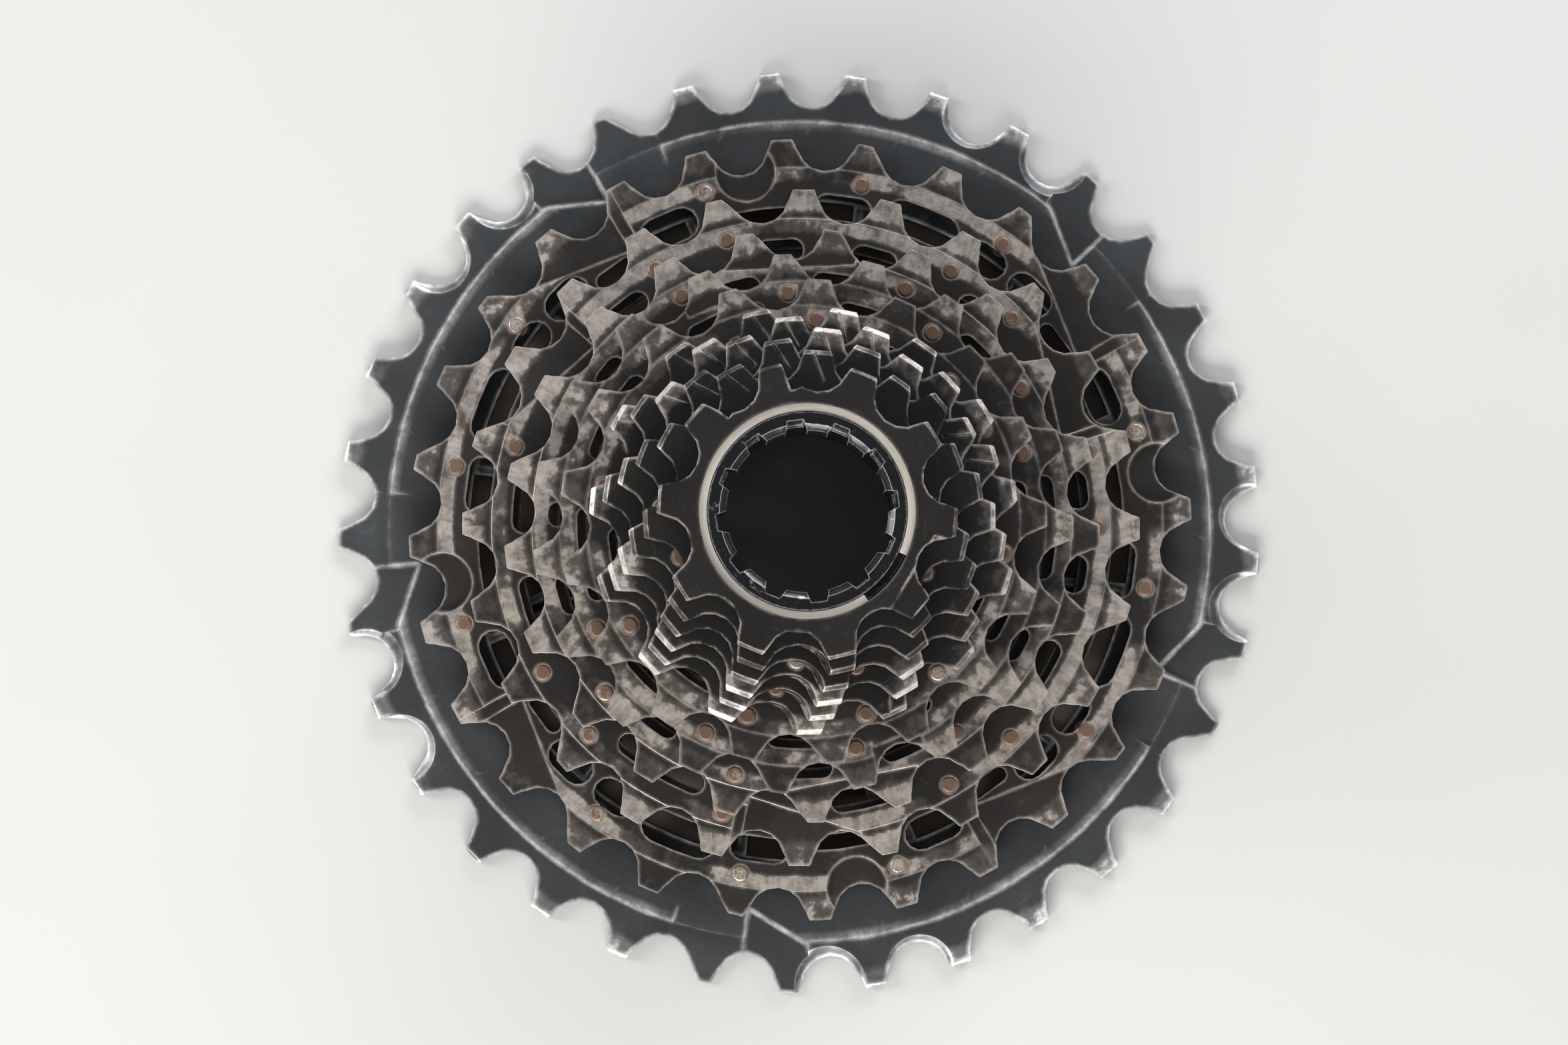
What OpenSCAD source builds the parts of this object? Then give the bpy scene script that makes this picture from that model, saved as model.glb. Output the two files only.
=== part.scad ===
// Twelve-speed bicycle cassette, 10 to 33 teeth, lying on its largest sprocket.
// Units are mm and +Z points outboard, from the largest sprocket to the smallest.
// The origin is on the axis, in the inboard face that rests on the table.

/* [Stack] */
// Axial step from one sprocket face to the next
step = 3.6; // [3.4:0.05:3.9]
// Thickness of a steel sprocket
plate_t = 1.75; // [1.5:0.05:2]
// Thickness of the aluminium 33-tooth rim
carrier_t = 2.2; // [1.8:0.1:3]
// How far the tooth faces sit below the plate face
shelf = 0.3; // [0.1:0.05:0.5]

/* [Teeth] */
// Chain pitch, roller centre to roller centre
chain_pitch = 12.7; // [12.6:0.1:12.8]
// Radius of the seat that a chain roller sits in
seat_r = 4.08; // [3.95:0.01:4.2]
// Half width of a gap between two teeth at the tooth tips
gap_half = 5; // [4.8:0.05:5.3]

/* [Rivets] */
// Radius of a rivet neck and of its head
neck_r = 1.2; // [1:0.05:1.5]
// Radius of the rivet shoulder that spaces two plates
shoulder_r = 1.65; // [1.4:0.05:2]
// Radial gap between a rivet neck and its hole
neck_gap = 0.02; // [0.01:0.01:0.05]
// Height of the rivet head above the plate
head_h = 0.16; // [0.05:0.01:0.3]

/* [Hub] */
// Radius of the pilot bore that centres the cassette on its driver body
pilot_r = 17.2; // [16.5:0.1:18]
// Radius across the tips of the hub splines
spline_tip_r = 17.6; // [17:0.1:18.5]
// Radius at the bottom of the hub spline grooves
spline_root_r = 18.7; // [18:0.1:20]
// Number of hub splines
spline_count = 24; // [18:1:36]
// Height of the splined part of the hub
spline_h = 6; // [4:0.5:8]
// Height of the whole hub boss
hub_h = 9.5; // [8:0.5:11]

/* [Lock tube] */
// Outer radius of the tube body
tube_r = 14.2; // [13.8:0.05:14.4]
// Radius of the tube flange that pushes on the small sprockets
flange_r = 14.7; // [14.4:0.02:14.8]
// Radius of the threaded bore at its crests
thread_r = 12.7; // [12:0.1:13]
// Length of the threaded bore
thread_l = 11; // [8:0.5:14]
// Radius at the bottom of the tool notches
notch_r = 12.6; // [12:0.1:13]
// Radius across the lands between the tool notches
land_r = 11.2; // [10.8:0.1:12]
// Outer radius of the tube's neck, inside the ring
neck_out = 13.7; // [13.4:0.05:13.8]
// Inboard end of the tube above the resting face
tube_end = 14; // [12:0.5:18]

/* [Snap ring] */
// Inner radius of the ring
ring_in = 13.85; // [13.8:0.01:14.2]
// Outer radius of the ring, inside its groove
ring_out = 15.3; // [15:0.05:15.4]
// Thickness of the ring
ring_t = 0.85; // [0.6:0.05:0.9]
// Angle between the two ends of the ring
ring_gap = 32; // [20:1:45]

/* [Hidden] */
$fn = 48;

// Colours
slate_aluminium = [0.20, 0.22, 0.24];
brown_steel = [0.20, 0.18, 0.16];
black_steel = [0.16, 0.15, 0.14];
rusty_steel = [0.42, 0.27, 0.20];
tube_black = [0.10, 0.10, 0.11];
spring_silver = [0.78, 0.74, 0.66];

// Faces of the twelve sprockets, counted from the largest
function face(i) = carrier_t + step * i;
top_10 = face(11);
flange_z = top_10 - 4.6;
groove_z = top_10 - 1.55;

// Radii inside the carrier, the cluster and the lock tube
rim_in = 48.6;
hub_r = 22.6;
core_r = 16.4;
tube_bore_r = tube_r + 0.06;
flange_bore_r = 14.9;
relief_r = 12.3;

// Rivet circles, each named after the sprocket that its heads show on
rad_28 = 51.2;
rad_24 = 43.2;
rad_21 = 37.4;
rad_19 = 33.2;
rad_17 = 28.9;
rad_15 = 24.2;
rad_14 = 22.2;
rad_13 = 20.3;
rad_12 = 18.4;
ang_28 = [for (q = [0:3]) for (a = [16, 54.5, 80]) a + 90 * q];
ang_24 = [for (k = [0, 2, 3, 6, 7, 10, 13, 14, 16, 19, 20, 23]) 14.6 + 15 * k];
ang_21 = [for (k = [1, 3, 6, 8, 10, 12, 14, 17, 19]) 14.9 + 360 / 21 * k];
ang_19 = [for (k = [0:2:16]) 17.9 + 360 / 19 * k];
ang_17 = [27.5, 43.5, 86.5, 128, 170, 211, 254, 288, 311.5, 351];
ang_15 = [for (k = [0:7]) 35.5 + 45 * k];
ang_14 = [for (k = [0:7]) 19 + 45 * k];
ang_13 = [for (k = [0:7]) 41.5 + 45 * k];
ang_12 = [for (k = [0:7]) 19 + 45 * k];

function pitch_r(n) = chain_pitch / 2 / sin(180 / n);
function root_r(n) = pitch_r(n) - seat_r;
function turn(p, a) = [p[0] * cos(a) - p[1] * sin(a), p[0] * sin(a) + p[1] * cos(a)];

// Half width of a gap at height u above the pitch circle
function gap_at(u) = lookup(u, [[-1.4, 3.83], [-0.8, 4.27], [0.15, 4.72], [1.3, gap_half]]);

// One side of a gap, from the roller seat out to the tooth tip
function side(n, tip, cut) =
    let (ut = sqrt(tip * tip - gap_half * gap_half) - pitch_r(n))
    let (um = (ut - 1.8) / 2)
    concat([for (a = [24, 47]) [-seat_r * cos(a), seat_r * sin(a)]],
           cut > 0 ? [[um - 0.2, gap_at(um) + cut / 3], [ut - 0.2, gap_at(ut) + cut]]
                   : [[-1.4, 3.83], [um, gap_at(um)], [ut - 0.3, gap_at(ut - 0.3)],
                      [ut, gap_at(ut) + 0.15]]);

// One whole gap as points, with its middle at angle a; low and high cut its two flanks back
function gap(n, tip, a, low, high) =
    let (s = side(n, tip, low))
    let (t = side(n, tip, high))
    let (m = pitch_r(n))
    [for (p = concat([for (i = [len(s) - 1:-1:0]) [s[i][0], -s[i][1]]], [[-seat_r, 0]], t))
        turn([m + p[0], p[1]], a)];

// Outline of a sprocket; teeth in the list come to a point on their clockwise side
module outline(n, phase, tip, pointed = []) {
    g = 360 / n;
    polygon([for (k = [0:n - 1])
        each gap(n, tip, phase + g * (k + 0.5), 0, search(k + 1, pointed) == [] ? 0 : 0.95)]);
}

// Slice of a disc from angle a to angle b
module sector(r, a, b) {
    m = (a + b) / 2;
    polygon([[0, 0], polar(r * 1.3, a), polar(r * 1.5, m), polar(r * 1.3, b)]);
}

// Point on radius r at angle a
function polar(r, a) = r * [cos(a), sin(a)];

// Curved window with round ends, on radius r and w wide
module slot(r, w, a, b) {
    e = w / 2 / r * 180 / PI;
    lo = a + e;
    hi = b - e;
    n = max(1, ceil((hi - lo) / 6));
    polygon(concat(
        [for (i = [0:n]) polar(r + w / 2, lo + (hi - lo) * i / n)],
        [for (t = [30:30:150]) polar(r, hi) + polar(w / 2, hi + t)],
        [for (i = [n:-1:0]) polar(r - w / 2, lo + (hi - lo) * i / n)],
        [for (t = [210:30:330]) polar(r, lo) + polar(w / 2, lo + t)]));
}

// Rivet holes on one circle
module holes(r, angles) {
    for (a = angles) {
        rotate(a) translate([r, 0]) circle(neck_r + neck_gap, $fn = 20);
    }
}

// Step that lowers the tooth faces of a plate
module shelf_ring(r, tip, top, depth) {
    difference() {
        translate([0, 0, top - depth]) cylinder(r = tip + 1, h = depth + 1, $fn = 96);
        translate([0, 0, top - depth - 1]) cylinder(r = r, h = depth + 3, $fn = 96);
    }
}

// Pie-shaped prism from angle a to angle b, used to limit a cut
module pie(a, b, low, high, z) {
    translate([0, 0, z]) linear_extrude(6)
        polygon([polar(low, a), polar(high, a), polar(high * 1.03, (a + b) / 2), polar(high, b),
                 polar(low, b)]);
}

// Shift ramp between angles a and b: the face slopes down outwards from radius r
module facet(a, b, r, top, slope, skew = 0) {
    intersection() {
        pie(a, b, r - 3, 75, top - 2);
        rotate((a + b) / 2 + skew) translate([r * cos(skew), 0, top]) rotate([0, slope, 0])
            translate([0, -25, 0]) cube([40, 50, 6]);
    }
}

// Recess between angles a and b, beyond a straight line square to angle n at distance d
module recess(a, b, n, d, top, depth, slope = 0) {
    intersection() {
        pie(a, b, d * 0.9, d * 1.6, top - 2);
        rotate(n) translate([d, 0, top - depth]) rotate([0, slope, 0])
            translate([0, -40, 0]) cube([40, 80, 6]);
    }
}

// Chamfer w wide and h deep on the k-th gullet after the first tooth, shifted sideways by push
module gullet_chamfer(n, phase, k, top, w, h, push = 0) {
    rotate(phase + 360 / n * (k + 0.5)) translate([pitch_r(n), push, top - h])
        cylinder(r1 = seat_r - 0.15, r2 = seat_r + w, h = h + 0.01, $fn = 40);
}

// Chamfer on the outboard edge of all tooth tips of one sprocket
module tip_chamfer(tip, top, w) {
    translate([0, 0, top - w]) difference() {
        cylinder(r = tip + 2, h = w + 1, $fn = 96);
        cylinder(r1 = tip + 0.25, r2 = tip - 0.75 - w, h = w + 1, $fn = 96);
    }
}

// Sloping chamfer on the face of one tooth
module tooth_chamfer(a, r, top, side, slope = 22) {
    rotate(a) translate([r, 0, top]) rotate(side * 24) rotate([side * slope, 0, 0])
        translate([-3, side > 0 ? 0 : -6, -0.25]) cube([9, 6, 3]);
}

// Rivets through two neighbouring plates, heads on the plate whose face is at top
module rivets(r, angles, top, end) {
    for (a = angles) {
        rotate(a) translate([r, 0, 0]) {
            translate([0, 0, end]) cylinder(r = neck_r, h = top - end, $fn = 20);
            translate([0, 0, top - step]) cylinder(r = shoulder_r, h = step - plate_t, $fn = 20);
            translate([0, 0, top]) cylinder(r1 = neck_r, r2 = neck_r - 0.3, h = head_h, $fn = 20);
        }
    }
}

// Aluminium carrier: 33-tooth rim, arms and splined hub in one machined piece
module carrier_33t() {
    color(slate_aluminium) {
        difference() {
            union() {
                rim_33();
                arms_33();
                cylinder(r = hub_r, h = hub_h, $fn = 96);
            }
            translate([0, 0, spline_h - 1]) cylinder(r = pilot_r, h = hub_h, $fn = 96);
            translate([0, 0, -1]) linear_extrude(spline_h + 1) spline_bore();
            translate([0, 0, -1]) linear_extrude(5) holes(rad_28, ang_28);
            translate([0, 0, hub_h - 0.6]) cylinder(r1 = pilot_r, r2 = pilot_r + 1, h = 1, $fn = 96);
        }
    }
}

module rim_33() {
    difference() {
        linear_extrude(carrier_t) difference() {
            outline(33, 6.65, 68, [3, 10, 17, 23, 30]);
            circle(rim_in, $fn = 120);
        }
        shelf_ring(60.5, 70, carrier_t, 0.5);
        tip_chamfer(68, carrier_t - 0.5, 0.75);
        for (a = [34, 110, 175, 252, 328]) {
            facet(a, a + 10.6, 57, carrier_t, 7);
            recess(a + 10.2, a + 19, a - 13.4, 51.5, carrier_t, 0.85, 1);
        }
        for (k = [4, 11, 17, 24, 31]) {
            gullet_chamfer(33, 6.65, k, carrier_t - 0.5, 1.5, 1, -0.6);
            gullet_chamfer(33, 6.65, k + 1, carrier_t - 0.5, 0.9, 0.8, 0.5);
        }
        shelf_back(61.5);
    }
}

// Chamfer that thins the teeth of the carrier on the inboard side
module shelf_back(r) {
    difference() {
        translate([0, 0, -1]) cylinder(r = 72, h = 1.3, $fn = 96);
        translate([0, 0, -2]) cylinder(r = r, h = 4, $fn = 96);
    }
}

// Twelve slanted arms that get deeper towards the hub
module arms_33() {
    intersection() {
        union() {
            for (k = [0:11]) {
                rotate(10 + 30 * k) translate([20, -2.2, 0]) rotate(14) cube([33, 4, hub_h]);
            }
        }
        cylinder(r = 49.5, h = 1.8, $fn = 96);
    }
    intersection() {
        union() {
            for (k = [0:11]) {
                rotate(10 + 30 * k) translate([20, -1.2, 0]) rotate(14) cube([33, 2, hub_h]);
            }
        }
        translate([0, 0, 1.7]) cylinder(r1 = 49.4, r2 = 20, h = 5.6, $fn = 96);
    }
}

// Spline bore: the tips stay clear of the pilot radius
module spline_bore() {
    g = 360 / spline_count;
    circle(spline_tip_r, $fn = 96);
    for (k = [0:spline_count - 1]) {
        rotate(g * k) polygon([[spline_tip_r - 1.5, -1.45], [spline_root_r, -1.15],
                               [spline_root_r, 1.15], [spline_tip_r - 1.5, 1.45]]);
    }
}

module sprocket_28t() {
    top = face(1);
    color(brown_steel) difference() {
        translate([0, 0, top - plate_t]) linear_extrude(plate_t) difference() {
            outline(28, 2.8, 57.3, [4, 11, 18, 25, 6, 13, 20, 27]);
            circle(41, $fn = 96);
            holes(rad_28, ang_28);
            holes(rad_24, ang_24);
            for (q = [0:90:270]) {
                slot(48, 4.6, q + 18.5, q + 29);
                slot(46.2, 2.2, q + 32, q + 40);
                slot(48, 4.4, q + 41.2, q + 50);
                slot(47.8, 4.4, q + 51.5, q + 59.5);
                slot(48.2, 4.8, q + 61.5, q + 75);
                slot(47.4, 3.6, q + 77.5, q + 87.5);
                slot(46.1, 2.2, q + 89.5, q + 104);
            }
        }
        shelf_ring(53.1, 60, top, shelf);
        for (q = [0:90:270]) {
            recess(q + 31.5, q + 51, q + 21.4, 46.95, top, 0.55, 1);
            recess(q + 29.5, q + 31.6, q + 21.4, 48.5, top, 0.36);
            rotate(q + 8.8) translate([53, 0, top - 0.8]) cylinder(r = 4.4, h = 3, $fn = 48);
            tooth_chamfer(q + 54.2, 56, top, 1);
            tooth_chamfer(q + 80, 56, top, -1);
            tooth_chamfer(q + 15.7, 56, top, 1);
        }
    }
}

module sprocket_24t() {
    top = face(2);
    color(brown_steel) difference() {
        translate([0, 0, top - plate_t]) linear_extrude(plate_t) difference() {
            outline(24, 14.6, 49.3, [2, 6, 10, 14, 18, 22]);
            circle(35.2, $fn = 96);
            holes(rad_24, ang_24);
            holes(rad_21, ang_21);
            for (w = [[3.5, 11.5], [50, 55], [70, 79.5], [89.5, 99.5], [124, 133.5],
                      [170, 181.5], [190.5, 204.5], [229.5, 249.5], [276, 289],
                      [322, 335.5], [346, 354]]) {
                slot(40.4, 3.2, w[0], w[1]);
            }
        }
        shelf_ring(45.05, 51, top, shelf);
        for (a = [0, 120, 240]) {
            recess(a + 19, a + 41, a + 12.2, 39.7, top, 0.55, 1);
            recess(a + 17, a + 19.1, a + 12.2, 41, top, 0.36);
        }
        for (k = [4, 6, 12, 14, 20, 22]) {
            tooth_chamfer(14.6 + 15 * k, 48, top, 1);
        }
        for (k = [2, 8, 10, 16, 18]) {
            tooth_chamfer(14.6 + 15 * k, 48, top, -1);
        }
    }
}

module sprocket_21t() {
    top = face(3);
    g = 360 / 21;
    color(brown_steel) difference() {
        translate([0, 0, top - plate_t]) linear_extrude(plate_t) difference() {
            outline(21, 14.9, 43.1, [1, 4, 5, 9, 12, 15, 16]);
            circle(31, $fn = 96);
            holes(rad_21, ang_21);
            holes(rad_19, ang_19);
            for (w = [[38, 50], [72.5, 87.5], [100, 111.5], [137.5, 146], [174.8, 180.6],
                      [192, 201.5], [226.5, 239], [261, 277], [289, 300], [326.5, 335],
                      [347, 371.5]]) {
                slot(35.3, 2.8, w[0], w[1]);
            }
        }
        shelf_ring(39.05, 45, top, shelf);
        for (a = [93, 281]) {
            recess(a - 14.5, a + 14.5, a, 37.3, top, 0.5, 1);
        }
        for (k = [1, 3, 7, 9, 13, 18, 20]) {
            tooth_chamfer(14.9 + g * k, 42, top, 1);
        }
        for (k = [4, 11, 15]) {
            tooth_chamfer(14.9 + g * k, 42, top, -1);
        }
    }
}

module sprocket_19t() {
    top = face(4);
    g = 360 / 19;
    color(brown_steel) difference() {
        translate([0, 0, top - plate_t]) linear_extrude(plate_t) difference() {
            outline(19, 17.9, 39, [4, 13]);
            circle(26.7, $fn = 96);
            holes(rad_19, ang_19);
            holes(rad_17, ang_17);
            for (w = [[62, 80.5], [100, 121.5], [138, 163], [176, 201], [217.5, 239],
                      [260.5, 277.5], [294, 305.5], [327.5, 344.5], [357.5, 371]]) {
                slot(31.1, 2.6, w[0], w[1]);
            }
        }
        shelf_ring(35.0, 41, top, shelf);
        for (a = [113, 293]) {
            recess(a - 6, a + 6, a, 33.6, top, 0.4, 2);
        }
        for (k = [2, 6, 9, 15, 17]) {
            tooth_chamfer(17.9 + g * k, 38, top, 1);
        }
        for (k = [5, 11, 14]) {
            tooth_chamfer(17.9 + g * k, 38, top, -1);
        }
    }
}

module sprocket_17t() {
    top = face(5);
    g = 360 / 17;
    color(brown_steel) difference() {
        translate([0, 0, top - plate_t]) linear_extrude(plate_t) difference() {
            outline(17, 1.6, 34.9, [5, 13]);
            circle(22.1, $fn = 96);
            holes(rad_17, ang_17);
            holes(rad_15, ang_15);
            for (w = [[5, 19], [57, 73], [97, 114], [139, 159], [182, 200], [225, 243],
                      [267, 280], [320, 340]]) {
                slot(26.5, 2.8, w[0], w[1]);
            }
        }
        shelf_ring(31.0, 37, top, shelf);
        for (k = [3, 6, 8, 14]) {
            tooth_chamfer(1.6 + g * k, 34, top, 1);
        }
        for (k = [4, 10, 16]) {
            tooth_chamfer(1.6 + g * k, 34, top, -1);
        }
    }
}

// Small pinned plate with two rivet circles and chamfered teeth
module small_plate(n, phase, tip, top, bore, r_out, a_out, r_in, a_in, left, right, cut) {
    g = 360 / n;
    difference() {
        translate([0, 0, top - plate_t]) linear_extrude(plate_t) difference() {
            outline(n, phase, tip, [n > 13 ? n : 1]);
            circle(bore, $fn = 72);
            holes(r_out, a_out);
            holes(r_in, a_in);
        }
        for (k = left) {
            tooth_chamfer(phase + g * k, tip - 1.7, top, 1);
        }
        for (k = right) {
            tooth_chamfer(phase + g * k, tip - 1.7, top, -1);
        }
        gullet_chamfer(n, phase, cut, top, 0.2, 1.2, 0.7);
        tip_chamfer(tip, top, 1);
    }
}

module sprocket_15t() {
    color(black_steel)
        small_plate(15, 7, 30.6, face(6), 20.1, rad_15, ang_15, rad_14, ang_14, [3, 4, 5, 6], [12], 10);
}

module sprocket_14t() {
    color(black_steel)
        small_plate(14, 17.4, 28.7, face(7), 18.2, rad_14, ang_14, rad_13, ang_13, [2, 3, 4], [0], 9);
}

module sprocket_13t() {
    color(black_steel)
        small_plate(13, 0, 26.8, face(8), 16.5, rad_13, ang_13, rad_12, ang_12, [3, 4, 5], [1], 9);
}

// Machined cluster: the 12, 11 and 10-tooth sprockets on one hollow core
module cluster_10_11_12t() {
    color(black_steel) difference() {
        union() {
            translate([0, 0, face(9) - plate_t]) linear_extrude(plate_t) difference() {
                outline(12, 9.3, 24.9, [1]);
                holes(rad_12, ang_12);
            }
            translate([0, 0, face(10) - plate_t]) linear_extrude(plate_t) outline(11, 20.5, 22.8, [1]);
            translate([0, 0, top_10 - plate_t]) linear_extrude(plate_t) outline(10, 31.5, 20.8);
            translate([0, 0, face(9) - 0.5]) cylinder(r = core_r, h = 2 * step, $fn = 96);
        }
        translate([0, 0, face(9) - 3]) cylinder(r = tube_bore_r, h = 12, $fn = 96);
        translate([0, 0, flange_z]) cylinder(r = flange_bore_r, h = 10, $fn = 96);
        translate([0, 0, groove_z]) cylinder(r = ring_out + 0.1, h = ring_t + 0.15, $fn = 96);
        for (k = [3, 4]) {
            tooth_chamfer(9.3 + 30 * k, 23.4, face(9), 1);
            tooth_chamfer(20.5 + 360 / 11 * (k - 1), 21.2, face(10), 1);
        }
        gullet_chamfer(12, 9.3, 8, face(9), 0.2, 1.2, 0.7);
        gullet_chamfer(11, 20.5, 7, face(10), 0.2, 1.2, 0.7);
        tip_chamfer(24.9, face(9), 1);
        tip_chamfer(22.8, face(10), 1);
        tip_chamfer(20.8, top_10, 0.8);
        recess(308, 349, 329, 16.75, top_10, 0.7, 3);
    }
}

module rivets_28_to_33() {
    color(rusty_steel) rivets(rad_28, ang_28, face(1), 0.15);
}

module rivets_24_to_28() {
    color(rusty_steel) rivets(rad_24, ang_24, face(2), face(1) - plate_t + 0.15);
}

module rivets_21_to_24() {
    color(rusty_steel) rivets(rad_21, ang_21, face(3), face(2) - plate_t + 0.15);
}

module rivets_19_to_21() {
    color(rusty_steel) rivets(rad_19, ang_19, face(4), face(3) - plate_t + 0.15);
}

module rivets_17_to_19() {
    color(rusty_steel) rivets(rad_17, ang_17, face(5), face(4) - plate_t + 0.15);
}

module rivets_15_to_17() {
    color(rusty_steel) rivets(rad_15, ang_15, face(6), face(5) - plate_t + 0.15);
}

module rivets_14_to_15() {
    color(rusty_steel) rivets(rad_14, ang_14, face(7), face(6) - plate_t + 0.15);
}

module rivets_13_to_14() {
    color(rusty_steel) rivets(rad_13, ang_13, face(8), face(7) - plate_t + 0.15);
}

module rivets_12_to_13() {
    color(rusty_steel) rivets(rad_12, ang_12, face(9), face(8) - plate_t + 0.15);
}

// Lock tube: flange under the snap ring, tool notches outboard, thread inboard
module lock_tube() {
    rim = top_10 - 0.45;
    color(tube_black) difference() {
        union() {
            translate([0, 0, tube_end]) cylinder(r = tube_r, h = flange_z + 1 - tube_end, $fn = 96);
            translate([0, 0, flange_z + 0.04]) cylinder(r = flange_r, h = 2.6, $fn = 96);
            translate([0, 0, flange_z + 2]) cylinder(r = neck_out, h = rim - flange_z - 2, $fn = 96);
        }
        translate([0, 0, tube_end - 1]) cylinder(r = thread_r, h = thread_l + 1, $fn = 96);
        translate([0, 0, tube_end - 0.01]) cylinder(r1 = thread_r + 0.8, r2 = thread_r, h = 0.8, $fn = 96);
        translate([0, 0, tube_end]) cylinder(r = relief_r, h = rim - 7 - tube_end, $fn = 96);
        translate([0, 0, rim - 8]) cylinder(r = land_r, h = 10, $fn = 96);
        translate([0, 0, rim - 0.8]) cylinder(r1 = land_r - 0.05, r2 = land_r + 0.9, h = 0.82, $fn = 96);
        for (k = [0:11]) {
            translate([0, 0, rim - 8]) rotate(7.5 + 30 * k) linear_extrude(10)
                polygon([[land_r - 1.5, -1.9], [notch_r, -1.1], [notch_r, 1.1], [land_r - 1.5, 1.9]]);
        }
    }
}

// Open wire ring that keeps the lock tube in the cluster bore
module snap_ring() {
    color(spring_silver) translate([0, 0, groove_z + 0.07]) linear_extrude(ring_t) difference() {
        circle(ring_out, $fn = 96);
        circle(ring_in, $fn = 96);
        sector(17, 320 - ring_gap / 2, 320 + ring_gap / 2);
    }
}

carrier_33t();
sprocket_28t();
sprocket_24t();
sprocket_21t();
sprocket_19t();
sprocket_17t();
sprocket_15t();
sprocket_14t();
sprocket_13t();
cluster_10_11_12t();
rivets_28_to_33();
rivets_24_to_28();
rivets_21_to_24();
rivets_19_to_21();
rivets_17_to_19();
rivets_15_to_17();
rivets_14_to_15();
rivets_13_to_14();
rivets_12_to_13();
lock_tube();
snap_ring();
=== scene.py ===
# Twelve-speed cassette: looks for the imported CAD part, lit like a studio shot from above.
import math

import bpy
from mathutils import Matrix, Vector

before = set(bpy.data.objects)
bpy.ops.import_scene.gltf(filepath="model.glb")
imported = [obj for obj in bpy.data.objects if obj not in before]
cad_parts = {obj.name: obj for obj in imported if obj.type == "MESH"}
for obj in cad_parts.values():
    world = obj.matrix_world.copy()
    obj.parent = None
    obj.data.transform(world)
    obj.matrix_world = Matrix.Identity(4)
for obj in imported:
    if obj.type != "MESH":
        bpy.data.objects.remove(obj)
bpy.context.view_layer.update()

# ---------------------------------------------------------------- sizes of the part, mm
MM = 0.001
STEP = 3.6  # from the face of one sprocket to the next
TOP_33 = 2.2  # face of the largest sprocket above the floor
PITCH = 12.7  # chain pitch
SEAT = 4.08  # radius of the seat of a chain roller
RIDGE = 60.5  # radius of the ridge on the 33-tooth rim
RING_OUT = 15.3  # outer radius of the snap ring
HOOKS = 28  # the ridge has a faint hook beside each gullet of the 28-tooth sprocket
SHIFT_ZONES = (34, 110, 175, 252, 328)  # where each shift zone of the rim starts, degrees
TEETH = (33, 28, 24, 21, 19, 17, 15, 14, 13, 12, 11, 10)
FACE = {n: TOP_33 + STEP * i for i, n in enumerate(TEETH)}


def root(n):
    """Radius at the bottom of the gullets of a sprocket with n teeth."""
    return PITCH / 2 / math.sin(math.pi / n) - SEAT


def rgb(r, g, b):
    return (r, g, b, 1.0)


def scaled(color, k):
    """The same colour, k times as bright."""
    return rgb(*[c * k for c in color])


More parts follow.
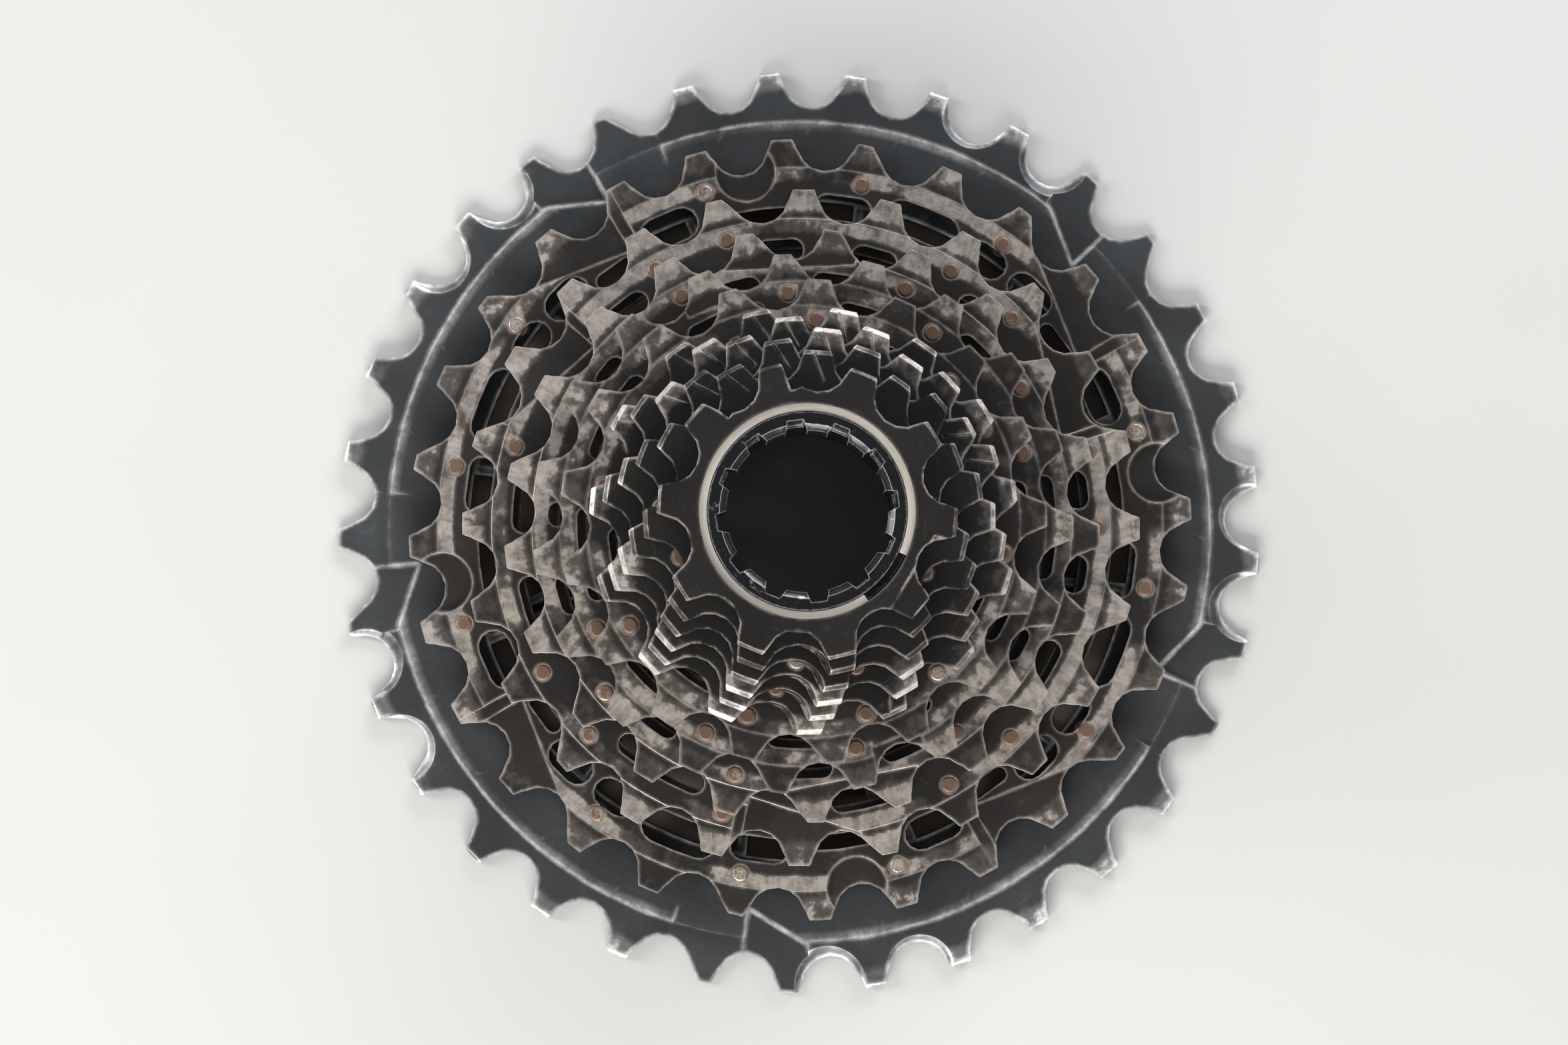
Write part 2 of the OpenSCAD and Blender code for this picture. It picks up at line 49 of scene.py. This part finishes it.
# ---------------------------------------------------------------- node helper
class Tree:
    """Adds and links the shader nodes of one material. Lengths are in mm."""

    def __init__(self, name):
        self.mat = bpy.data.materials.new(name)
        self.mat.use_nodes = True
        self.t = self.mat.node_tree
        self.t.nodes.clear()

    def add(self, kind, props=None, **ins):
        n = self.t.nodes.new(kind)
        for k, v in (props or {}).items():
            setattr(n, k, v)
        for k, v in ins.items():
            self.put(n, k, v)
        return n

    def put(self, n, key, v):
        """Links a socket into an input, or sets the input's value."""
        sock = n.inputs[int(key)] if key.isdigit() else n.inputs[key]
        if isinstance(v, bpy.types.NodeSocket):
            self.t.links.new(v, sock)
        else:
            sock.default_value = v

    def math(self, op, a, b=0.0, clamp=False):
        n = self.add("ShaderNodeMath", {"operation": op, "use_clamp": clamp})
        self.put(n, "0", a)
        self.put(n, "1", b)
        return n.outputs[0]

    def plus(self, a, b):
        return self.math("ADD", a, b)

    def minus(self, a, b):
        return self.math("SUBTRACT", a, b)

    def times(self, a, b):
        return self.math("MULTIPLY", a, b)

    def larger(self, a, b):
        return self.math("MAXIMUM", a, b)

    def ramp(self, v, lo, hi, a=0.0, b=1.0):
        """Smooth step: a where v is lo, b where v is hi."""
        n = self.add("ShaderNodeMapRange", {"interpolation_type": "SMOOTHSTEP"}, Value=v)
        for key, value in (("From Min", lo), ("From Max", hi), ("To Min", a), ("To Max", b)):
            self.put(n, key, value)
        return n.outputs[0]

    def noise(self, vec, scale, detail=4.0, rough=0.6):
        n = self.add("ShaderNodeTexNoise", Vector=vec, Scale=scale, Detail=detail, Roughness=rough)
        return n.outputs["Fac"]

    def mix(self, f, a, b):
        """Colour a where f is 0, b where f is 1."""
        n = self.add("ShaderNodeMix", {"data_type": "RGBA"})
        self.put(n, "0", f)
        self.put(n, "6", a)
        self.put(n, "7", b)
        return n.outputs[2]

    def blend(self, f, a, b):
        """Number a where f is 0, b where f is 1."""
        n = self.add("ShaderNodeMix", {"data_type": "FLOAT"})
        self.put(n, "0", f)
        self.put(n, "2", a)
        self.put(n, "3", b)
        return n.outputs[0]

    def place(self):
        """Object position, its distance from the axis, its angle and its height."""
        v = self.add("ShaderNodeVectorMath", {"operation": "SCALE"})
        self.put(v, "0", self.add("ShaderNodeTexCoord").outputs["Object"])
        self.put(v, "Scale", 1.0 / MM)
        v = v.outputs[0]
        x, y, z = self.add("ShaderNodeSeparateXYZ", Vector=v).outputs
        r = self.math("SQRT", self.plus(self.times(x, x), self.times(y, y)))
        return v, r, self.math("ARCTAN2", y, x), z

    def around(self, r, a, z):
        """Position for streaks that run round the axis."""
        return self.add("ShaderNodeCombineXYZ", X=r, Y=self.times(a, 3.0), Z=z).outputs[0]

    def edge(self, radius):
        """1 on an edge, falling to 0 at radius from it."""
        rounded = self.add("ShaderNodeBevel", {"samples": 6}, Radius=radius * MM).outputs[0]
        flat = self.add("ShaderNodeNewGeometry").outputs["Normal"]
        d = self.add("ShaderNodeVectorMath", {"operation": "DOT_PRODUCT"})
        self.put(d, "0", rounded)
        self.put(d, "1", flat)
        return self.math("MULTIPLY", self.minus(1.0, d.outputs["Value"]), 5.0, clamp=True)

    def line(self, v, at, half, soft):
        """1 where v is within half of at, with a soft border."""
        return self.ramp(self.math("ABSOLUTE", self.minus(v, at)), half + soft, half)

    def facing_up(self):
        """1 on level faces, 0 on walls."""
        g = self.add("ShaderNodeNewGeometry")
        s = self.add("ShaderNodeSeparateXYZ", Vector=g.outputs["Normal"])
        return self.math("ABSOLUTE", s.outputs[2])

    def bump(self, height, strength, depth):
        n = self.add("ShaderNodeBump", Strength=strength, Distance=depth * MM, Height=height)
        return n.outputs[0]

    def finish(self, color, metallic, rough, normal=None, coat=0.0):
        b = self.add("ShaderNodeBsdfPrincipled", Metallic=metallic, Roughness=rough)
        self.put(b, "Base Color", color)
        if coat:
            self.put(b, "Coat Weight", coat)
            self.put(b, "Coat Roughness", 0.25)
        if normal is not None:
            self.put(b, "Normal", normal)
        o = self.add("ShaderNodeOutputMaterial")
        self.t.links.new(b.outputs[0], o.inputs[0])
        return self.mat


# ---------------------------------------------------------------- wear
def tooth_wear(t, where, up, broad, n, phase, band, tips, tip_foot):
    """Wear of a sprocket with n teeth: a band inside the gullets, and its tooth tips."""
    v, r, a, z = where
    foot = root(n)
    on_face = t.ramp(z, FACE[n] - 0.2, FACE[n] - 0.1)
    ring = t.times(t.ramp(r, foot - 2.4, foot - 1.2), t.ramp(r, foot + 1.0, foot - 0.2))
    ring = t.times(t.times(ring, on_face), t.ramp(broad, 0.36, 0.56, 0.25, 1.0))
    gullet = t.times(t.times(ring, up), band)
    # Every tooth gets its own amount of wear
    cell = t.math("FLOOR", t.plus(t.times(a, n / math.tau), 0.5 - phase * n / 360))
    dice = t.add("ShaderNodeTexWhiteNoise", {"noise_dimensions": "1D"}, W=t.plus(cell, n + 0.5))
    each = t.ramp(dice.outputs["Value"], -0.3, 0.7)
    low = foot + tip_foot
    tip = t.times(t.ramp(r, low, low + 2.2), t.ramp(z, FACE[n] - 0.9, FACE[n] - 0.7))
    return t.plus(gullet, t.times(tip, t.times(each, tips)))


def ridge_lines(t, where, up, broad):
    """Rubbed line on the ridge of the 33-tooth rim, with faint hooks that turn in from it."""
    v, r, a, z = where
    lobe = t.math("FRACT", t.plus(t.times(a, HOOKS / math.tau), 0.28))
    run = t.times(lobe, 4.6)
    tail = t.minus(RIDGE + 0.2, t.times(t.times(run, run), 1.9))
    off_tail = t.math("ABSOLUTE", t.minus(r, tail))
    hook = t.times(t.ramp(off_tail, 0.8, 0.1), t.ramp(run, 1.05, 0.8))
    strip = t.times(t.line(r, RIDGE - 0.3, 0.15, 1.2), t.ramp(broad, 0.38, 0.6, 0.06, 0.34))
    lines = t.larger(t.times(hook, 0.12), strip)
    return t.times(lines, t.times(up, t.ramp(z, TOP_33 - 0.25, TOP_33 - 0.05)))


# ---------------------------------------------------------------- materials
def coated(name, base, bare, rough=0.42, n=0, phase=0.0, reach=0.9, band=0.0, tips=0.0, tip_foot=0.2,
           bias=-0.05, shine=0.35, spare=0.6, mottle=1.1, side=0.3, ridge=False, turned=False):
    """Dark coating worn to bare metal on edges, on teeth and along the band inside the gullets.

    n, phase: tooth count and the angle of the first tooth, in degrees
    reach: how far from an edge the coating is rubbed; spare: how much the least rubbed edges are
    band, tips, side: wear in the gullet band, on tooth tips from tip_foot outwards, and on walls
    mottle, bias: unevenness of the wear, and wear everywhere
    shine: metallic value of the bare metal; ridge: 33-tooth rim; turned: lathe marks of the small ones
    """
    t = Tree(name)
    where = v, r, a, z = t.place()
    patch = t.noise(v, 0.42, 5, 0.62)
    fine = t.noise(v, 1.7, 4, 0.6)
    broad = t.noise(v, 0.075, 2, 0.5)
    grain = t.noise(v, 8.0, 2, 0.6)
    level = t.facing_up()
    up = t.ramp(level, 0.35, 0.8)

    rubbed = t.times(t.edge(reach), t.ramp(t.noise(v, 0.3, 3, 0.6), 0.36, 0.6, spare, 0.9))
    worn = t.plus(rubbed, t.times(t.minus(patch, 0.5), mottle))
    worn = t.plus(worn, t.times(t.minus(broad, 0.5), 0.5))
    if n:
        worn = t.plus(worn, tooth_wear(t, where, up, broad, n, phase, band, tips, tip_foot))
    wall = t.times(t.ramp(level, 0.95, 0.75), side)
    if turned:
        foot = t.ramp(z, FACE[15] - 1.0, FACE[10], root(15), root(10))
        wall = t.times(wall, t.ramp(t.minus(r, foot), -1.0, 2.4, 0.2, 1.0))
    worn = t.plus(worn, t.plus(wall, bias))

    mask = t.ramp(worn, 0.38, 0.56)
    haze = t.ramp(worn, 0.05, 0.45, 0.0, 0.22)
    if ridge:
        mask = t.larger(mask, ridge_lines(t, where, up, broad))
    if turned:
        mask = t.times(mask, t.ramp(r, RING_OUT + 0.4, RING_OUT + 1.2))

    dark = t.mix(t.ramp(broad, 0.35, 0.65), scaled(base, 0.85), scaled(base, 1.15))
    # Painted shade: inside 50 mm from the axis, under the smaller sprockets, the rim's coating is painted at
    # 0.35 of its tone.
    if ridge:
        dark = t.mix(t.ramp(r, 50.0, 55.0), scaled(base, 0.35), dark)
    rust = t.times(t.ramp(t.noise(v, 0.6, 5, 0.7), 0.62, 0.74), 0.2)
    dark = t.mix(rust, dark, rgb(0.10, 0.055, 0.035))
    shade = t.plus(t.times(patch, 0.65), t.times(fine, 0.35))
    metal = t.mix(t.ramp(shade, 0.38, 0.62), scaled(bare, 0.55), scaled(bare, 1.12))
    color = t.mix(mask, t.mix(haze, dark, rgb(*bare)), metal)
    coat_rough = t.ramp(fine, 0.3, 0.8, rough - 0.04, rough + 0.06)
    roughness = t.blend(mask, coat_rough, t.ramp(grain, 0.3, 0.8, 0.36, 0.5))
    height = t.plus(grain, t.times(fine, 1.5))
    if turned:
        streak = t.noise(t.around(t.times(r, 5.0), a, z), 1.0, 3, 0.7)
        height = t.plus(height, t.times(streak, 2.5))
        scratch = t.times(t.ramp(streak, 0.62, 0.72), t.times(up, 0.08))
        color = t.mix(scratch, color, rgb(*bare))
    return t.finish(color, t.blend(mask, 0.5, shine), roughness, t.bump(height, 0.2, 0.02))


def bright_edge(name, base, bare, amount=0.8, inner=0.0, dull=(), patchy=0.12, metal=0.3, smooth=0.4):
    """The thin chamfer on every edge: coating rubbed through in most places, and a painted highlight where
    the coating stays.

    amount: how much is rubbed through; inner: radius where the rubbing starts
    dull: angles, in degrees, of edges on the rim that stay coated; patchy: scale of the patches
    metal, smooth: metallic value and roughness where the coating is gone
    """
    t = Tree(name)
    v, r, a, z = t.place()
    fine = t.noise(v, 1.1, 4, 0.6)
    broad = t.noise(v, patchy, 3, 0.6)
    m = t.ramp(t.plus(fine, t.times(broad, 1.2)), 1.25 - amount * 0.6, 1.45 - amount * 0.5)
    if inner:
        m = t.times(m, t.ramp(r, inner, inner + 3.0, 0.12, 1.0))
    for angle in dull:
        off = t.math("ABSOLUTE", t.minus(a, math.remainder(math.radians(angle), math.tau)))
        near = t.times(t.ramp(off, 0.012, 0.006), t.ramp(r, RIDGE + 2.1, RIDGE + 1.5))
        m = t.times(m, t.minus(1.0, t.times(near, 0.85)))
    # Painted highlight: where the coating stays, the chamfer is painted 2.2 times lighter than the coating.
    # Where it is rubbed through, the pale bare metal is real wear, little metallic by default so the line
    # looks lit from every side.
    color = t.mix(m, scaled(base, 2.2), rgb(*bare))
    bump = t.bump(t.noise(v, 7.0, 2), 0.2, 0.02)
    return t.finish(color, t.blend(m, 0.3, metal), t.blend(m, 0.42, smooth), bump)


def rivet_steel():
    """Brown, lightly rusted steel; some heads are polished by wear."""
    t = Tree("rivet_steel")
    v, r, a, z = t.place()
    fine = t.noise(v, 3.0, 5, 0.7)
    each = t.noise(v, 0.12, 1, 0.4)
    polish = t.ramp(t.plus(t.times(fine, 0.5), each), 0.84, 0.96)
    color = t.mix(fine, rgb(0.085, 0.048, 0.034), rgb(0.24, 0.145, 0.10))
    color = t.mix(polish, color, rgb(0.42, 0.37, 0.32))
    return t.finish(color, 0.3, t.blend(polish, 0.5, 0.36), t.bump(fine, 0.5, 0.04))


def tube_steel():
    """Glossy black steel with turning marks, scuffed round the tool notches."""
    t = Tree("tube_steel")
    v, r, a, z = t.place()
    fine = t.noise(v, 2.0, 6, 0.7)
    rubbed = t.times(t.ramp(t.edge(0.4), 0.25, 0.6), t.ramp(fine, 0.42, 0.6))
    scuff = t.times(t.ramp(t.noise(v, 0.6, 5, 0.75), 0.60, 0.68), t.ramp(z, 38.0, 41.0))
    m = t.larger(rubbed, t.times(scuff, 0.5))
    turned = t.math("SINE", t.times(z, 30.0))
    color = t.mix(m, rgb(0.018, 0.018, 0.02), rgb(0.6, 0.6, 0.6))
    bump = t.bump(t.plus(turned, fine), 0.12, 0.01)
    return t.finish(color, t.blend(m, 0.6, 1.0), t.blend(m, 0.22, 0.35), bump, 0.3)


def spring_steel():
    """Cream-silver steel with fine marks that run round the ring."""
    t = Tree("spring_steel")
    v, r, a, z = t.place()
    streak = t.noise(t.around(t.times(r, 6.0), a, z), 2.0, 4, 0.6)
    color = t.mix(streak, rgb(0.62, 0.56, 0.47), rgb(0.86, 0.81, 0.72))
    return t.finish(color, 0.5, t.ramp(streak, 0.3, 0.7, 0.30, 0.5), t.bump(streak, 0.2, 0.02))


SLATE = (0.052, 0.056, 0.059)
BROWN = (0.034, 0.030, 0.027)
BLACK = (0.027, 0.025, 0.0235)
SILVER = (0.78, 0.77, 0.75)
WARM = (0.40, 0.355, 0.315)
STEEL = (0.60, 0.55, 0.505)

edge_slate = bright_edge("worn_edge_and_painted_highlight_aluminium", SLATE, (0.95, 0.93, 0.90), 1.0, 53.0,
                         [q + 10.2 for q in SHIFT_ZONES])
edge_warm = bright_edge("worn_edge_and_painted_highlight_coated", BROWN, (0.86, 0.78, 0.71), 0.85, patchy=0.2, metal=0.65,
                        smooth=0.34)
edge_steel = bright_edge("worn_edge_and_painted_highlight_black", BLACK, (0.86, 0.79, 0.72), 0.7, 14.5, patchy=0.3, metal=0.75,
                         smooth=0.3)
edge_tube = bright_edge("worn_edge_and_painted_highlight_tube", (0.02, 0.02, 0.022), (0.70, 0.70, 0.70), 0.65, patchy=0.4)
edge_ring = bright_edge("edge_ring", (0.5, 0.45, 0.38), (0.8, 0.76, 0.68), 0.9)
edge_rivet = bright_edge("edge_rivet", (0.05, 0.03, 0.02), (0.26, 0.18, 0.13), 0.6)
rivet = (rivet_steel(), edge_rivet, 0.08)

# Per node: its material, the material of its chamfers and their width
LOOK = {
    "carrier_33t": (coated("slate_aluminium", SLATE, SILVER, n=33, phase=6.65, reach=1.3, tips=0.42,
                           tip_foot=1.4, bias=-0.02, mottle=0.55, ridge=True), edge_slate, 0.42),
    "cluster_10_11_12t": (coated("black_steel_cluster", BLACK, STEEL, 0.30, reach=0.8, bias=-0.12, shine=0.6,
                                 spare=0.35, side=0.24, turned=True), edge_steel, 0.12),
    "lock_tube": (tube_steel(), edge_tube, 0.10),
    "snap_ring": (spring_steel(), edge_ring, 0.06),
}
for n, phase, band, tips in ((28, 2.8, 0.75, 0.45), (24, 14.6, 0.7, 0.7), (21, 14.9, 0.6, 0.7),
                             (19, 17.9, 0.5, 0.65), (17, 1.6, 0.45, 0.55)):
    steel = coated(f"coated_steel_{n}", BROWN, WARM, n=n, phase=phase, band=band, tips=tips)
    LOOK[f"sprocket_{n}t"] = (steel, edge_warm, 0.24)
for n, phase in ((15, 7), (14, 17.4), (13, 0)):
    steel = coated(f"black_steel_{n}", BLACK, STEEL, 0.32, n, phase, 1.0, tips=0.5, bias=-0.12, shine=0.6,
                   spare=0.35, side=0.24, turned=True)
    LOOK[f"sprocket_{n}t"] = (steel, edge_steel, 0.12)


WELD_WITHIN = 0.002 * MM
FLAT_WITHIN = math.radians(0.6)
SHARP_ABOVE = math.radians(27)


def dress(obj, mat, edge, width):
    """Puts a material on a node and a rounded chamfer, with its own material, on its edges."""
    obj.data.materials.clear()
    obj.data.materials.append(mat)
    obj.data.materials.append(edge)
    weld = obj.modifiers.new("weld", "WELD")
    weld.merge_threshold = WELD_WITHIN
    flat = obj.modifiers.new("flat", "DECIMATE")
    flat.decimate_type = "DISSOLVE"
    flat.angle_limit = FLAT_WITHIN
    bevel = obj.modifiers.new("bevel", "BEVEL")
    bevel.width = width * MM
    bevel.segments = 2
    bevel.limit_method = "ANGLE"
    bevel.angle_limit = SHARP_ABOVE
    bevel.material = 1
    bevel.harden_normals = False
    bevel.use_clamp_overlap = True
    bevel.miter_outer = "MITER_ARC"
    normals = obj.modifiers.new("normals", "WEIGHTED_NORMAL")
    normals.keep_sharp = False
    for p in obj.data.polygons:
        p.use_smooth = True


for name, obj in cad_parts.items():
    dress(obj, *LOOK.get(name, rivet))

# ---------------------------------------------------------------- stage
scene = bpy.context.scene


def add_object(name, data):
    obj = bpy.data.objects.new(name, data)
    scene.collection.objects.link(obj)
    return obj


def soft_light(name, loc, size, power, tint):
    """Area light that points at the part; places and sizes are in metres."""
    light = bpy.data.lights.new(name, "AREA")
    light.shape = "RECTANGLE"
    light.size, light.size_y = size
    light.energy = power
    light.color = tint
    obj = add_object(name, light)
    obj.location = loc
    aim = Vector((0, 0, 0.01)) - Vector(loc)
    obj.rotation_euler = aim.to_track_quat("-Z", "Y").to_euler()
    return obj


def floor_paper():
    """Pale paper with a painted shade, a dark brown disc, right under the sprockets, and pale from below."""
    t = Tree("floor_paper")
    v = t.add("ShaderNodeTexCoord").outputs["Object"]
    paper = t.mix(t.noise(v, 9.0, 3), rgb(0.52, 0.515, 0.50), rgb(0.57, 0.565, 0.55))
    r = t.place()[1]
    outside_painted_shade = t.larger(t.ramp(r, 50.0, 54.0), t.ramp(r, 18.0, 15.0))
    from_below = t.add("ShaderNodeNewGeometry").outputs["Backfacing"]
    pale = t.larger(outside_painted_shade, from_below)
    # Painted shade: the paper is dark brown from 18 to 50 mm from the axis, under the sprockets.
    return t.finish(t.mix(pale, rgb(0.17, 0.14, 0.115), paper), 0.0, 0.7)


def soft_room():
    """World light: bright at and below the horizon, dim overhead."""
    world = bpy.data.worlds.new("soft_room")
    world.use_nodes = True
    t = world.node_tree
    t.nodes.clear()
    direction = t.nodes.new("ShaderNodeTexCoord").outputs["Generated"]
    split = t.nodes.new("ShaderNodeSeparateXYZ")
    t.links.new(direction, split.inputs[0])
    sky = t.nodes.new("ShaderNodeValToRGB")
    stops = sky.color_ramp.elements
    stops.new(0.55)
    for stop, place, color in zip(stops, (0.0, 0.55, 1.0),
                                  ((0.75, 0.76, 0.78), (0.62, 0.63, 0.65), (0.20, 0.21, 0.22))):
        stop.position = place
        stop.color = rgb(*color)
    t.links.new(split.outputs[2], sky.inputs[0])
    background = t.nodes.new("ShaderNodeBackground")
    background.inputs["Strength"].default_value = 0.75
    t.links.new(sky.outputs[0], background.inputs[0])
    out = t.nodes.new("ShaderNodeOutputWorld")
    t.links.new(background.outputs[0], out.inputs[0])
    return world


FLOOR_HALF = 3.0  # metres
FLOOR_Z = -0.1 * MM
floor_mesh = bpy.data.meshes.new("floor")
corners = [(x * FLOOR_HALF, y * FLOOR_HALF, FLOOR_Z) for x, y in ((-1, -1), (1, -1), (1, 1), (-1, 1))]
floor_mesh.from_pydata(corners, [], [(0, 1, 2, 3)])
floor_mesh.materials.append(floor_paper())
floor = add_object("floor", floor_mesh)
key = soft_light("key", (-0.15, -0.75, 0.42), (0.9, 0.35), 12.0, (1.0, 0.98, 0.95))
rim = soft_light("rim", (0.35, 0.8, 0.35), (0.9, 0.3), 9.0, (0.95, 0.97, 1.0))
side = soft_light("side", (-0.85, 0.2, 0.4), (0.3, 0.8), 6.0, (1.0, 1.0, 1.0))
scene.world = soft_room()

# ---------------------------------------------------------------- camera
# It looks nearly straight down, from a little beside the axis. Places are in mm, turns in radians.
EYE = (-14.54, -37.71, 596.30 + TOP_33)
TURN_X, TURN_Y, TURN_Z = -0.06473, 0.02028, -0.0008
cam_data = bpy.data.cameras.new("camera")
cam_data.sensor_width = 36.0
cam_data.lens = 93.25
cam_data.clip_start = 0.01
cam_data.clip_end = 20.0
cam = add_object("camera", cam_data)
turn = Matrix.Rotation(TURN_Z, 3, "Z") @ Matrix.Rotation(TURN_Y, 3, "Y") @ Matrix.Rotation(TURN_X, 3, "X")
cam.matrix_world = Matrix.Translation(Vector(EYE) * MM) @ turn.transposed().to_4x4()
scene.camera = cam
scene.view_settings.view_transform = "Standard"
scene.view_settings.look = "None"
